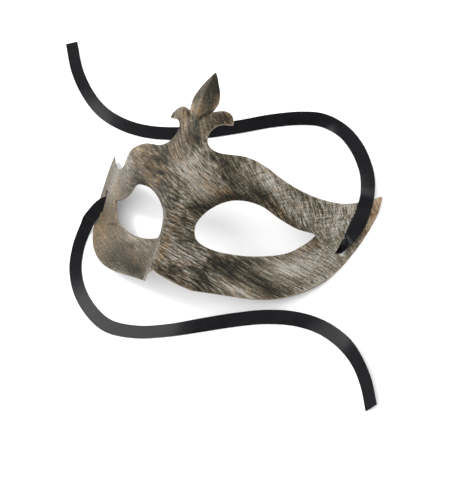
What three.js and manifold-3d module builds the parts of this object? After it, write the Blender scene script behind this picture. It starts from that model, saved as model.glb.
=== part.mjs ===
// Venetian eye mask with a fleur-de-lis crest and two ribbons, lying on its rim.
// Millimetres. +Z is up, +Y points to the crest and +X to the right as the front is seen.
// The face is drawn upright as x across, v up and w forward, then laid back on its rim.

import * as THREE from 'three';
import { mergeVertices } from 'three/addons/utils/BufferGeometryUtils.js';
import Module from 'manifold-3d';

// Main sizes
const WALL = 1.2;
const LAY_BACK_DEG = 30;
const RIM_DROP = 29.3;
const CENTRE_Y = 16.6;

// Grid of the skins, and how much finer it is at the middle
const GRID_ACROSS = 56;
const GRID_UP = 36;
const GRID_CENTRE = 0.62;

// Three levels of the face: cheek, eye and brow.
// Each lies so far forward at the middle and sweeps back by a slope from a distance on.
const LEVELS = [
  { v: -37, forward: 12.0, from: 5.5, slope: 0.31 },
  { v: -3, forward: 0.5, from: 29.0, slope: 0.54 },
  { v: 30, forward: 3.8, from: 42.0, slope: 1.0 },
];
const SWEEP_ROUND = 8;

// Ridge of nose and forehead: its height over the levels and its half width
const RIDGE = [
  { v: -38, rise: 17.2, half: 17.0 },
  { v: -23, rise: 16.1, half: 17.8 },
  { v: -8, rise: 17.2, half: 14.0 },
  { v: 2, rise: 17.1, half: 17.0 },
  { v: 19, rise: 10.6, half: 38.0 },
  { v: 38, rise: 9.7, half: 38.0 },
  { v: 48, rise: 9.0, half: 40.0 },
];
const RIDGE_CREST = 0.2;
const RIDGE_FOOT = 0.08;

// The crest leans back above the brow
const CREST_FROM = 26.5;
const CREST_SLOPE = 0.46;
const CREST_ROUND = 4;

// Swelling of the brow over the eye and of the cheek under it
const BROW_SWELL = { rise: 2.2, x: 40, v: 22, reachX: 24, reachV: 8 };
const CHEEK_SWELL = { rise: 1.8, x: 44, v: -27, reachX: 24, reachV: 7 };

// Leaf of the crest: a spade with a roof-like back
const LEAF = { low: 50.8, wide: 60.5, tip: 76.2, half: 8.8, rise: 1.6 };

// Outline of the right half, from the notch under the nose to the tip of the leaf
const NOTCH = [0, -29.2];
const NOSE_EDGE = [[4.5, -31.5], [10.5, -35.1], [16.4, -38.1]];
const LOWER_RIM = [[26, -37.9], [36, -37.8], [48, -37.4], [59.3, -35.3], [69.3, -30.8],
  [77.4, -24.3], [83.2, -15.7], [87.2, -5.9], [90, 4.8], [91.3, 14], [91.0, 22.6]];
const WING_TOP = [[88.2, 20.9], [84, 18.7], [79.5, 17], [73.9, 16.3], [65.4, 17.7], [57.6, 21.1],
  [50.5, 26], [45.5, 29.7], [39.5, 32.5], [32.6, 34.2], [25.7, 34.3], [20, 34.4], [15, 35.9],
  [11.7, 38.6], [10.1, 42.2], [10.4, 45.2], [12.6, 47.9], [16, 49.0], [20.6, 49.3]];
const PETAL = [[20.4, 51], [19.3, 53], [17.4, 54.9], [14.2, 56.1], [11.1, 55.8], [7.3, 54.6]];
const LEAF_EDGE = [[8.3, 57.6], [8.7, 60.5], [7.5, 65], [4.9, 69.6], [2.4, 73.4], [0, 76.2]];

// Eye hole, from the outer corner over the top to the nose and back below
const EYE_CORNER = [67.6, -1.3];
const EYE_UPPER = [[65.4, -0.5], [59.7, 0.3], [53.8, 2.7], [48.3, 5.9], [43.1, 9.4], [37.1, 11.1],
  [31, 11.1], [25.4, 9.8], [19.4, 6.6], [14.2, 1.9], [11.2, -3.5], [11, -8.4]];
const EYE_LOWER = [[12.2, -11.9], [15.2, -14.6], [20, -16], [28, -16.8], [39.4, -16.5],
  [50.6, -14.4], [57.5, -11.8], [62.6, -7.6], [65.6, -4.4], [67.6, -1.3]];

// Ribbon slot near the outer rim, its lower end cut on a slant
const SLOT_LINE = [[80.45, -9.4], [81.45, -4.4], [82.1, 3.2]];
const SLOT_HALF = 1.9;
const SLOT_SLANT = 0.7;

// Ribbons: the wide face, the thickness, the steps along it and how much finer they start
const RIBBON_WIDTH = 7.5;
const RIBBON_THICK = 0.4;
const RIBBON_STEPS = 62;
const RIBBON_START = 0.6;
const RIBBON_LIFT = 0.3;

// A ribbon at its slot: x, v, distance in front of the face, and how steeply it climbs out
const UPPER_ON_WING = [
  [70, -8, -2.4, 0], [76.2, -6.2, -2.6, 0.4], [80.1, -4.7, -2.5, 1], [81.5, -3.6, -0.4, 1.1],
  [82.9, -2.2, 1.6, 0.9], [84.5, 3.5, 1.4, 0.2], [84.9, 10.5, 0.8, 0], [85, 15.5, 1.1, 0],
  [84.9, 19.5, 1.9, 0],
];
const LOWER_ON_WING = [
  [70, -1.4, -2.2, 0], [76, -2, -2.7, 0.7], [80.7, -3.1, -2.6, 1.4], [81.9, -3.9, -0.6, 1.5],
  [82.9, -5.5, 1.7, 1.8], [82.95, -9.8, 4.2, 2.1], [82.8, -15, 5, 2.0],
];

// A ribbon on the table: x, y, lean in degrees and height of its lower long edge
const UPPER_ON_TABLE = [
  [81.3, 27.9, -30, 1.9], [77.4, 34.6, -14, 0.7], [73, 41, 0, 0], [63.5, 51.8, 12, 0],
  [50, 61.8, 9, 0], [36, 66, 12, 0], [22, 65.7, 19, 0], [4, 61.8, 27, 0], [-15, 55.6, 31, 0],
  [-36, 49.6, 33, 0], [-58.5, 45.5, 33, 0], [-78, 44.8, 26, 0], [-97.1, 47.6, 17, 0],
  [-118, 55, 5, 0], [-137, 66.9, -6, 0], [-153.7, 82, -15, 0], [-170.2, 102.2, -20, 0],
];
const LOWER_ON_TABLE = [
  [-85.2, -22.7, -38, 1.2], [-86, -28.2, -35, 0.3], [-85.2, -35.5, -28, 0], [-80.5, -48, -19, 0],
  [-71.2, -60.2, -7, 0], [-56.5, -71, 2, 0], [-39.9, -77.5, 4, 0], [-20, -77.1, 3, 0],
  [-0.8, -72.2, 7, 0], [18, -65.6, 8, 0], [35.5, -59, 6, 0], [53, -53.6, 3, 0],
  [71.1, -51.1, 4, 0], [86.5, -52.3, 9, 0], [101, -57.5, 18, 0], [112.5, -65.2, 21, 0],
  [122.3, -75.5, 19, 0], [130.2, -87.3, 17, 0],
];

const bronze = new THREE.MeshStandardMaterial({ color: 0x988f80, roughness: 0.45, metalness: 0.6 });
const satin = new THREE.MeshStandardMaterial({ color: 0x1c1d20, roughness: 0.5, metalness: 0 });

const layBack = THREE.MathUtils.degToRad(LAY_BACK_DEG);

// A ramp that is 0 well below t = 0 and t well above it, with a round bend
function ramp(t, round) {
  return (Math.hypot(t, round) + t) / 2;
}

// Bell of height 1 at distance 0, close to 0 past distance 2
function bell(distance) {
  return Math.exp(-distance * distance);
}

// Quadratic through the three levels
function levelValue(key, v) {
  const at = THREE.MathUtils.clamp(v, -45, LEVELS[2].v);
  let sum = 0;
  for (const own of LEVELS) {
    let share = own[key];
    for (const other of LEVELS) {
      if (other !== own) {
        share *= (at - other.v) / (own.v - other.v);
      }
    }
    sum += share;
  }
  return sum;
}

// Straight lines between the ridge stations, rounded by an average over 8 mm
function ridgeValue(key, v) {
  let sum = 0;
  const samples = [-4, -2, 0, 2, 4];
  for (const shift of samples) {
    const at = THREE.MathUtils.clamp(v + shift, RIDGE[0].v, RIDGE[RIDGE.length - 1].v);
    const i = Math.min(RIDGE.findIndex((s) => at <= s.v) || 1, RIDGE.length - 1);
    const share = (at - RIDGE[i - 1].v) / (RIDGE[i].v - RIDGE[i - 1].v);
    sum += THREE.MathUtils.lerp(RIDGE[i - 1][key], RIDGE[i][key], share);
  }
  return sum / samples.length;
}

// Half width of the crest's leaf at a height: spade, pointed below and above
function leafHalf(v) {
  if (v <= LEAF.low || v >= LEAF.tip) {
    return 0;
  }
  const below = (v - LEAF.low) / (LEAF.wide - LEAF.low);
  const above = (LEAF.tip - v) / (LEAF.tip - LEAF.wide);
  const swelling = Math.sqrt(Math.sin(Math.min(below, 1) * Math.PI / 2));
  return LEAF.half * swelling * Math.sin(Math.min(above, 1) * Math.PI / 2);
}

// How far the leaf's back stands over the crest
function leafRelief(x, v) {
  const half = leafHalf(v);
  return half > 0 ? LEAF.rise * Math.max(0, 1 - x / half) * Math.min(1, half / 4) : 0;
}

function swell(shape, x, v) {
  return shape.rise * bell((x - shape.x) / shape.reachX) * bell((v - shape.v) / shape.reachV);
}

// How far forward the front face lies at a place of the upright face
function forward(xSigned, v) {
  const x = Math.abs(xSigned);
  const level = levelValue('forward', v)
    - levelValue('slope', v) * ramp(x - levelValue('from', v), SWEEP_ROUND);
  const t = x / ridgeValue('half', v);
  const flank = (Math.hypot(t, RIDGE_CREST) - RIDGE_CREST) / (Math.hypot(1, RIDGE_CREST) - RIDGE_CREST);
  const ridge = ridgeValue('rise', v) * ramp(1 - flank, RIDGE_FOOT);
  const lean = CREST_SLOPE * ramp(v - CREST_FROM, CREST_ROUND);
  return level + ridge - lean + swell(BROW_SWELL, x, v) + swell(CHEEK_SWELL, x, v) + leafRelief(x, v);
}

function frontNormal(x, v) {
  const d = 0.05;
  const sx = (forward(x + d, v) - forward(x - d, v)) / (2 * d);
  const sv = (forward(x, v + d) - forward(x, v - d)) / (2 * d);
  return new THREE.Vector3(-sx, -sv, 1).normalize();
}

// Turns a point or a direction of the upright face onto the table
function lay(vector) {
  return vector.applyAxisAngle(new THREE.Vector3(1, 0, 0), layBack);
}

// The place on the table of a point that lies so far in front of the front face
function place(x, v, offset) {
  const point = new THREE.Vector3(x, v, forward(x, v)).addScaledVector(frontNormal(x, v), offset);
  return lay(point).add(new THREE.Vector3(0, -CENTRE_Y, RIM_DROP));
}

const wasm = await Module();
wasm.setup();

function toSolid(geometry) {
  const bare = geometry.clone();
  bare.deleteAttribute('normal');
  bare.deleteAttribute('uv');
  const merged = mergeVertices(bare, 1e-4);
  return new wasm.Manifold(new wasm.Mesh({
    numProp: 3,
    vertProperties: new Float32Array(merged.attributes.position.array),
    triVerts: new Uint32Array(merged.index.array),
  }));
}

function toGeometry(solid) {
  const mesh = solid.getMesh();
  const geometry = new THREE.BufferGeometry();
  geometry.setAttribute('position', new THREE.BufferAttribute(new Float32Array(mesh.vertProperties), 3));
  geometry.setIndex(new THREE.BufferAttribute(new Uint32Array(mesh.triVerts), 1));
  return geometry;
}

// Moves every vertex of a geometry by a function of its place
function reshape(geometry, move) {
  const position = geometry.attributes.position;
  for (let i = 0; i < position.count; i += 1) {
    const point = move(position.getX(i), position.getY(i), position.getZ(i));
    position.setXYZ(i, point.x, point.y, point.z);
  }
  return geometry;
}

function points(list, side = 1) {
  return list.map(([x, v]) => new THREE.Vector2(side * x, v));
}

// Whole outline: the right half up to the leaf's tip and its mirror image back
function maskOutline() {
  const shape = new THREE.Shape();
  shape.moveTo(...NOTCH);
  for (const part of [NOSE_EDGE, LOWER_RIM, WING_TOP, PETAL, LEAF_EDGE]) {
    shape.splineThru(points(part));
  }
  const right = [NOTCH, ...NOSE_EDGE, ...LOWER_RIM, ...WING_TOP, ...PETAL, ...LEAF_EDGE];
  let end = right.length - 1;
  for (const part of [LEAF_EDGE, PETAL, WING_TOP, LOWER_RIM, NOSE_EDGE]) {
    shape.splineThru(points(right.slice(end - part.length, end).reverse(), -1));
    end -= part.length;
  }
  return shape;
}

function eyeHole(side) {
  const hole = new THREE.Path();
  hole.moveTo(side * EYE_CORNER[0], EYE_CORNER[1]);
  hole.splineThru(points([...EYE_UPPER, ...EYE_LOWER], side));
  return hole;
}

function slotHole(side) {
  const line = new THREE.SplineCurve(points(SLOT_LINE, side));
  const outward = [];
  const inward = [];
  const steps = 6;
  for (let i = 0; i <= steps; i += 1) {
    const centre = line.getPoint(i / steps);
    const slant = SLOT_SLANT * (1 - i / steps);
    outward.push(centre.clone().add(new THREE.Vector2(side * SLOT_HALF, -slant)));
    inward.unshift(centre.clone().add(new THREE.Vector2(-side * SLOT_HALF, slant)));
  }
  return new THREE.Path([...outward, ...inward, outward[0]]);
}

// Front and back skins on a grid that is finer near the nose, closed round the edge
function faceSlab() {
  const block = new THREE.BoxGeometry(2, 124, 1, GRID_ACROSS, GRID_UP, 1);
  block.translate(0, 19, 0);
  return reshape(block, (share, v, side) => {
    const x = 96 * share * (GRID_CENTRE + (1 - GRID_CENTRE) * share * share);
    return new THREE.Vector3(x, v, forward(x, v) + (side > 0 ? 0 : -WALL));
  });
}

function maskShell() {
  const shape = maskOutline();
  for (const side of [1, -1]) {
    shape.holes.push(eyeHole(side));
    shape.holes.push(slotHole(side));
  }
  const reach = 160;
  const cutter = new THREE.ExtrudeGeometry(shape, { depth: reach, bevelEnabled: false, curveSegments: 3 });
  cutter.translate(0, 0, -reach / 2);
  const sheet = toGeometry(toSolid(faceSlab()).intersect(toSolid(cutter)));
  const shell = reshape(sheet, (x, v, w) => place(x, v, w - forward(x, v)));
  const table = new THREE.BoxGeometry(400, 400, 20);
  table.translate(0, 0, -10);
  return toGeometry(toSolid(shell).subtract(toSolid(table)));
}

// Stops at the slot: the wide face turns from the front face towards the middle as it climbs
function stopsOnWing(list, side) {
  return list.map(([x, v, offset, climb]) => {
    const normal = frontNormal(side * x, v);
    const outward = new THREE.Vector3(side, 0, 0).projectOnPlane(normal).normalize();
    const facing = normal.clone().addScaledVector(outward, -climb).normalize();
    return { at: place(side * x, v, offset), facing: lay(facing) };
  });
}

// Stops on the table: with no lean the wide face looks straight up
function stopsOnTable(list, side) {
  return list.map(([x, y, lean, lift], i) => {
    const before = list[Math.max(i - 1, 0)];
    const after = list[Math.min(i + 1, list.length - 1)];
    const along = new THREE.Vector3(after[0] - before[0], after[1] - before[1], 0).normalize();
    const angle = THREE.MathUtils.degToRad(-side * lean);
    const facing = new THREE.Vector3(0, 0, 1).applyAxisAngle(along, angle);
    const half = Math.abs(Math.sin(angle)) * RIBBON_WIDTH / 2 + Math.cos(angle) * RIBBON_THICK / 2;
    return { at: new THREE.Vector3(x, y, lift + RIBBON_LIFT + half), facing };
  });
}

// Flat band with rounded long edges, bent along its stops
function ribbon(stops) {
  const half = RIBBON_WIDTH / 2;
  const edge = RIBBON_THICK / 2;
  const section = new THREE.Shape(points([[-half, 0], [-half + edge, -edge], [0, -edge],
    [half - edge, -edge], [half, 0], [half - edge, edge], [0, edge], [-half + edge, edge]]));
  const line = new THREE.CatmullRomCurve3(stops.map((stop) => stop.at), false, 'centripetal');
  const facings = new THREE.CatmullRomCurve3(stops.map((stop) => stop.facing), false, 'catmullrom', 0.5);
  line.arcLengthDivisions = 800;
  const strip = new THREE.ExtrudeGeometry(section, { depth: 1, steps: RIBBON_STEPS, bevelEnabled: false });
  return reshape(mergeVertices(strip, 1e-4), (across, over, share) => {
    const t = line.getUtoTmapping(share * (RIBBON_START + (1 - RIBBON_START) * share));
    const along = line.getTangent(t);
    const facing = facings.getPoint(t).projectOnPlane(along).normalize();
    const sideways = new THREE.Vector3().crossVectors(facing, along);
    return line.getPoint(t).addScaledVector(sideways, across).addScaledVector(facing, over);
  });
}

const mask = new THREE.Group();

function add(name, geometry, material) {
  const mesh = new THREE.Mesh(geometry, material);
  mesh.name = name;
  mask.add(mesh);
}

add('mask_shell', maskShell(), bronze);

const upperStops = [...stopsOnWing(UPPER_ON_WING, 1), ...stopsOnTable(UPPER_ON_TABLE, 1)];
const lowerStops = [...stopsOnWing(LOWER_ON_WING, -1), ...stopsOnTable(LOWER_ON_TABLE, -1)];
add('ribbon_upper', ribbon(upperStops), satin);
add('ribbon_lower', ribbon(lowerStops), satin);

export default mask;
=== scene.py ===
# Venetian eye mask in brushed antique bronze, with a fleur-de-lis crest and two black satin ribbons.
# It lies on the rims of its wings. The face is worked out upright, x across, v up and w forward,
# in millimetres, and is then laid back on the table.

import math
import bmesh
import bpy
import numpy as np
from mathutils import Matrix, Vector
from mathutils.geometry import delaunay_2d_cdt


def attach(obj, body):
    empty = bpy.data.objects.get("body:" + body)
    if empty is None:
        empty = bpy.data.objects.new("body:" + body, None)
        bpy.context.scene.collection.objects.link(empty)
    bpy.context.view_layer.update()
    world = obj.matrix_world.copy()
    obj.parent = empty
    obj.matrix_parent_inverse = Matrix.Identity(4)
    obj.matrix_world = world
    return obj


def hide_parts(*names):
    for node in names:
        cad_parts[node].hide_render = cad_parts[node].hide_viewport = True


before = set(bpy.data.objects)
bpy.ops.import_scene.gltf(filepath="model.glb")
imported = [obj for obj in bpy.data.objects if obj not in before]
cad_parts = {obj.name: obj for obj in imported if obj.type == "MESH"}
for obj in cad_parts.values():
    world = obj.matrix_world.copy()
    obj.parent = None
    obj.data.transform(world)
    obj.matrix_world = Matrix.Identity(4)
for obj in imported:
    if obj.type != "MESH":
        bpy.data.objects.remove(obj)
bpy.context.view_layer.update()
mm = 0.001


def deselectAll():
    if bpy.context.object and bpy.context.object.mode != "OBJECT":
        bpy.ops.object.mode_set(mode="OBJECT")
    bpy.ops.object.select_all(action="DESELECT")


def makeActive(piece):
    deselectAll()
    piece.select_set(True)
    bpy.context.view_layer.objects.active = piece


def applyModifiers(piece):
    makeActive(piece)
    for modifier in list(piece.modifiers):
        bpy.ops.object.modifier_apply(modifier=modifier.name)


# camera
cameraSetup = {
    "place": (0.44162, -0.27099, 0.56526),
    "right": (0.80662, 0.39497, -0.43973),
    "up": (-0.14978, 0.85626, 0.49436),
    "back": (0.57178, -0.33290, 0.74983),
    "lens": 100.8,
    "sensor": 36.0,
}


def addCamera(setup):
    turned = Matrix((setup["right"], setup["up"], setup["back"])).transposed()
    bpy.ops.object.camera_add(location=setup["place"], rotation=turned.to_euler())
    camera = bpy.context.object
    camera.name = "photoCamera"
    camera.data.sensor_fit = "VERTICAL"
    camera.data.sensor_height = setup["sensor"]
    camera.data.lens = setup["lens"]
    bpy.context.scene.camera = camera


addCamera(cameraSetup)
print("camera placed")

# shape of the face
faceShape = {
    "layBack": 30.0, "rimDrop": 29.3, "centreY": 16.6, "wall": 1.2,
    "levels": [  # v, forward at the middle, where the sweep starts, its slope
        (-37, 12.0, 5.5, 0.31),
        (-3, 0.5, 29.0, 0.54),
        (30, 3.8, 42.0, 1.0),
    ],
    "lowestLevel": -45, "sweepRound": 8.0,
    "ridge": [  # v, rise of the ridge, half width
        (-38, 17.2, 17.0), (-23, 16.1, 17.8), (-8, 17.2, 14.0), (2, 17.1, 17.0),
        (19, 10.6, 38.0), (38, 9.7, 38.0), (48, 9.0, 40.0),
    ],
    "ridgeCrest": 0.2, "ridgeFoot": 0.08, "ridgeBlend": (-4, -2, 0, 2, 4),
    "crestFrom": 26.5, "crestSlope": 0.46, "crestRound": 4.0,
    "browSwell": (2.2, 40, 22, 24, 8), "cheekSwell": (1.8, 44, -27, 24, 7),
    "leaf": {"low": 50.8, "wide": 60.5, "tip": 76.2, "half": 8.8, "rise": 1.6, "fade": 4},
}


def ramp(t, soft):
    return (np.hypot(t, soft) + t) / 2


def bell(distance):
    return np.exp(-distance * distance)


def levelValue(column, v):
    levels = faceShape["levels"]
    at = np.clip(v, faceShape["lowestLevel"], levels[2][0])
    total = 0.0
    for own in levels:
        share = own[column]
        for other in levels:
            if other is not own:
                share = share * (at - other[0]) / (own[0] - other[0])
        total = total + share
    return total


def ridgeValue(column, v):
    stations = np.array(faceShape["ridge"], float)
    shifts = faceShape["ridgeBlend"]
    return sum(np.interp(v + s, stations[:, 0], stations[:, column]) for s in shifts) / len(shifts)


def leafHalf(v):
    leaf = faceShape["leaf"]
    below = np.clip((v - leaf["low"]) / (leaf["wide"] - leaf["low"]), 0, 1)
    above = np.clip((leaf["tip"] - v) / (leaf["tip"] - leaf["wide"]), 0, 1)
    return leaf["half"] * np.sqrt(np.sin(below * math.pi / 2)) * np.sin(above * math.pi / 2)


def leafRelief(x, v):
    leaf = faceShape["leaf"]
    half = np.maximum(leafHalf(v), 1e-4)
    return leaf["rise"] * np.maximum(0, 1 - x / half) * np.minimum(1, half / leaf["fade"])


def swell(shape, x, v):
    rise, atX, atV, reachX, reachV = shape
    return rise * bell((x - atX) / reachX) * bell((v - atV) / reachV)


def forward(xSigned, v):  # how far in front of the middle plane the face lies
    x = np.abs(xSigned)
    level = levelValue(1, v) - levelValue(3, v) * ramp(x - levelValue(2, v), faceShape["sweepRound"])
    t = x / ridgeValue(2, v)
    crest = faceShape["ridgeCrest"]
    flank = (np.hypot(t, crest) - crest) / (math.hypot(1, crest) - crest)
    ridge = ridgeValue(1, v) * ramp(1 - flank, faceShape["ridgeFoot"])
    lean = faceShape["crestSlope"] * ramp(v - faceShape["crestFrom"], faceShape["crestRound"])
    swells = swell(faceShape["browSwell"], x, v) + swell(faceShape["cheekSwell"], x, v)
    return level + ridge - lean + swells + leafRelief(x, v)


def layOnTable(x, v, w):  # the upright face, laid back on its rim
    angle = math.radians(faceShape["layBack"])
    y = math.cos(angle) * v - math.sin(angle) * w - faceShape["centreY"]
    z = math.sin(angle) * v + math.cos(angle) * w + faceShape["rimDrop"]
    return np.stack([x, y, z], -1)


def frontNormal(x, v):
    d = 0.05
    slopeX = (forward(x + d, v) - forward(x - d, v)) / (2 * d)
    slopeV = (forward(x, v + d) - forward(x, v - d)) / (2 * d)
    normal = np.stack([-slopeX, -slopeV, np.ones_like(slopeX)], -1)
    return normal / np.linalg.norm(normal, axis=-1, keepdims=True)


def placeOnFace(x, v, offset):  # a point that lies so far in front of the front face
    x, v = np.asarray(x, float), np.asarray(v, float)
    point = np.stack([x, v, forward(x, v)], -1) + frontNormal(x, v) * np.asarray(offset)[..., None]
    return layOnTable(point[..., 0], point[..., 1], point[..., 2])


def turnOnTable(direction):
    angle = math.radians(faceShape["layBack"])
    x, y, z = direction
    return Vector((x, math.cos(angle) * y - math.sin(angle) * z, math.sin(angle) * y + math.cos(angle) * z))


# ribbons
ribbonCloth = {
    "width": 7.5, "thick": 0.4, "steps": 420, "across": 12, "lift": 0.3, "perStop": 40, "crease": 50,
    "selvedgeFrom": 0.86, "flatThick": 0.82, "edgeInset": 0.4, "slotMouth": (81.7, -3.8),
}
ribbonStops = {
    "ribbonUpper": {
        "side": 1,
        "node": "ribbon_upper",
        "onWing": [  # x, v, distance in front of the face, how steeply it climbs out
            (70, -8, -2.4, 0), (76.2, -6.2, -2.6, 0.4), (80.1, -4.7, -2.5, 1),
            (81.5, -3.6, -0.4, 1.1), (82.4, -2.3, 1.6, 0.8), (83.9, 3.5, 1.4, 0.2),
            (84.9, 10.5, 0.8, 0), (85, 15.5, 1.1, 0), (84.9, 19.5, 1.9, 0),
        ],
        "onTable": [  # x, y, lean in degrees, height of the lower long edge
            (81.3, 27.9, -30, 1.9), (77.4, 34.6, -16, 0.7), (73, 41, -7, 0), (63.5, 51.8, -3, 0),
            (50, 61.8, 0, 0), (36, 66, 29, 0), (22, 65.7, 30, 0), (4, 61.8, 31, 0), (-15, 55.6, 32, 0),
            (-36, 49.6, 33, 0), (-58.5, 45.5, 33, 0), (-78, 44.8, 30, 0), (-97.1, 47.6, 24, 0),
            (-118, 55, 9, 0), (-137, 66.9, -2, 0), (-153.7, 82, -18, 0), (-170.2, 102.2, -20, 0),
        ],
    },
    "ribbonLower": {
        "side": -1,
        "node": "ribbon_lower",
        "onWing": [
            (70, 0.6, -2.2, 0), (76, -0.8, -2.7, 0.7), (80.5, -2.7, -2.6, 1.4), (81.7, -4.2, -0.6, 1.5),
            (81.8, -7.0, 1.3, 1.4), (82.0, -11.2, 2.9, 1.4), (82.2, -16, 4.2, 1.4),
        ],
        "onTable": [
            (-85.2, -22.7, -27, 1.2), (-86, -28.2, -20, 0.3), (-85.2, -35.5, -15, 0), (-80.5, -48, -11, 0),
            (-71.2, -60.2, -4, 0), (-56.5, -71, 2, 0), (-39.9, -77.5, 4, 0), (-20, -77.1, 3, 0),
            (-0.8, -72.2, 5, 0), (18, -65.6, 16, 0), (35.5, -59, 17, 0), (53, -53.6, 17, 0),
            (71.1, -51.1, 18, 0), (86.5, -52.3, 9, 0), (101, -57.5, 11, 0), (112.5, -65.2, 24, 0),
            (122.3, -75.5, 23, 0), (130.2, -87.3, 22, 0),
        ],
    },
}


def wingStops(stops, side):
    made = []
    for x, v, offset, climb in stops:
        normal = Vector(frontNormal(np.array(side * float(x)), np.array(float(v))))
        outward = Vector((side, 0, 0))
        outward = (outward - normal * outward.dot(normal)).normalized()
        facing = (normal - outward * climb).normalized()
        made.append((Vector(placeOnFace(side * x, v, offset)), turnOnTable(facing)))
    return made


def tableStops(stops, side):
    made = []
    for i, (x, y, lean, lift) in enumerate(stops):
        before, after = stops[max(i - 1, 0)], stops[min(i + 1, len(stops) - 1)]
        along = Vector((after[0] - before[0], after[1] - before[1], 0)).normalized()
        angle = math.radians(-side * lean)
        facing = Matrix.Rotation(angle, 3, along) @ Vector((0, 0, 1))
        half = abs(math.sin(angle)) * ribbonCloth["width"] / 2 + math.cos(angle) * ribbonCloth["thick"] / 2
        made.append((Vector((x, y, lift + ribbonCloth["lift"] + half)), facing))
    return made


def curveThrough(points, perStop, centripetal):  # a smooth line through the points
    ends = [points[0] * 2 - points[1], *points, points[-1] * 2 - points[-2]]
    line = []
    for i in range(len(points) - 1):
        p0, p1, p2, p3 = ends[i:i + 4]
        d0 = math.sqrt((p1 - p0).length) if centripetal else 1.0
        d1 = math.sqrt((p2 - p1).length) if centripetal else 1.0
        d2 = math.sqrt((p3 - p2).length) if centripetal else 1.0
        start = ((p1 - p0) / d0 - (p2 - p0) / (d0 + d1) + (p2 - p1) / d1) * d1
        end = ((p2 - p1) / d1 - (p3 - p1) / (d1 + d2) + (p3 - p2) / d2) * d1
        for k in range(perStop):
            t = k / perStop
            line.append(p1 * (2 * t**3 - 3 * t**2 + 1) + start * (t**3 - 2 * t**2 + t)
                        + p2 * (3 * t**2 - 2 * t**3) + end * (t**3 - t**2))
    line.append(points[-1].copy())
    return line


def evenSteps(line, facings, count):  # the same line and facings at even steps of length
    lengths = [0.0]
    for a, b in zip(line, line[1:]):
        lengths.append(lengths[-1] + (b - a).length)
    wanted = np.linspace(0, lengths[-1], count + 1)

    def spread(vectors):
        columns = [np.interp(wanted, lengths, [q[i] for q in vectors]) for i in range(3)]
        return [Vector(p) for p in zip(*columns)]

    return spread(line), spread(facings), lengths[-1]


def ribbonSection():  # half a turn round each long edge, with a slightly thicker selvedge
    half, thick = ribbonCloth["width"] / 2, ribbonCloth["thick"] / 2
    across = np.linspace(-1, 1, ribbonCloth["across"] + 1)
    top = []
    for s in across:
        edge = max(0.0, (abs(s) - ribbonCloth["selvedgeFrom"]) / (1 - ribbonCloth["selvedgeFrom"]))
        flat = ribbonCloth["flatThick"]
        height = thick * (flat + (1 - flat) * math.sin(edge * math.pi))
        top.append((s * (half - thick * ribbonCloth["edgeInset"]), height))
    return [(half, 0.0)] + top[::-1] + [(-half, 0.0)] + [(a, -b) for a, b in top]


def addRibbon(name, spec):
    stops = wingStops(spec["onWing"], spec["side"]) + tableStops(spec["onTable"], spec["side"])
    line = curveThrough([s[0] for s in stops], ribbonCloth["perStop"], True)
    facings = curveThrough([s[1] for s in stops], ribbonCloth["perStop"], False)
    spots, facings, length = evenSteps(line, facings, ribbonCloth["steps"])
    section = ribbonSection()
    count = len(section)
    mesh = bmesh.new()
    rings = []
    for i, spot in enumerate(spots):
        along = (spots[min(i + 1, len(spots) - 1)] - spots[max(i - 1, 0)]).normalized()
        facing = (facings[i] - along * facings[i].dot(along)).normalized()
        sideways = facing.cross(along)
        rings.append([mesh.verts.new((spot + sideways * a + facing * b) * mm) for a, b in section])
    clothMap = mesh.loops.layers.uv.new("clothMap")
    for i in range(len(rings) - 1):
        for k in range(count):
            n = (k + 1) % count
            face = mesh.faces.new((rings[i][k], rings[i][n], rings[i + 1][n], rings[i + 1][k]))
            for loop, step, spot in zip(face.loops, (i, i, i + 1, i + 1), (k, n, n, k)):
                loop[clothMap].uv = (step * length / ribbonCloth["steps"] * mm, section[spot][0] * mm)
    mesh.faces.new(rings[0][::-1])
    mesh.faces.new(rings[-1])
    bmesh.ops.recalc_face_normals(mesh, faces=mesh.faces)
    ribbonMesh = bpy.data.meshes.new(name)
    mesh.to_mesh(ribbonMesh)
    mesh.free()
    ribbon = bpy.data.objects.new(name, ribbonMesh)
    bpy.context.scene.collection.objects.link(ribbon)
    makeActive(ribbon)
    bpy.ops.object.shade_smooth_by_angle(angle=math.radians(ribbonCloth["crease"]))
    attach(ribbon, "root")
    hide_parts(spec["node"])
    print(name, "made,", round(length, 1), "mm long")
    return ribbon


ribbons = [addRibbon(name, spec) for name, spec in ribbonStops.items()]


# materials
def addNode(tree, kind, inputs=None, **settings):
    node = tree.nodes.new(kind)
    for name, value in settings.items():
        setattr(node, name, value)
    for name, value in (inputs or {}).items():
        if isinstance(value, bpy.types.NodeSocket):
            tree.links.new(value, node.inputs[name])
        else:
            node.inputs[name].default_value = value
    return node


def newMaterial(name):
    material = bpy.data.materials.new(name)
    material.use_nodes = True
    material.node_tree.nodes.clear()
    return material, material.node_tree


def mathNode(tree, operation, *values, clamp=False):
    node = addNode(tree, "ShaderNodeMath", dict(enumerate(values)), operation=operation, use_clamp=clamp)
    return node.outputs[0]


def rampNode(tree, value, stops):
    node = addNode(tree, "ShaderNodeValToRGB", {"Fac": value})
    elements = node.color_ramp.elements
    for _ in range(len(stops) - 2):
        elements.new(0.5)
    for element, (place, colour) in zip(elements, stops):
        element.position = place
        element.color = (*colour, 1)
    return node.outputs["Color"]


def mixColours(tree, factor, first, second):  # the sockets of a colour mix go by number
    node = addNode(tree, "ShaderNodeMix", data_type="RGBA")
    for socket, value in ((node.inputs[0], factor), (node.inputs[6], first), (node.inputs[7], second)):
        tree.links.new(value, socket)
    return node.outputs[2]


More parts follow.
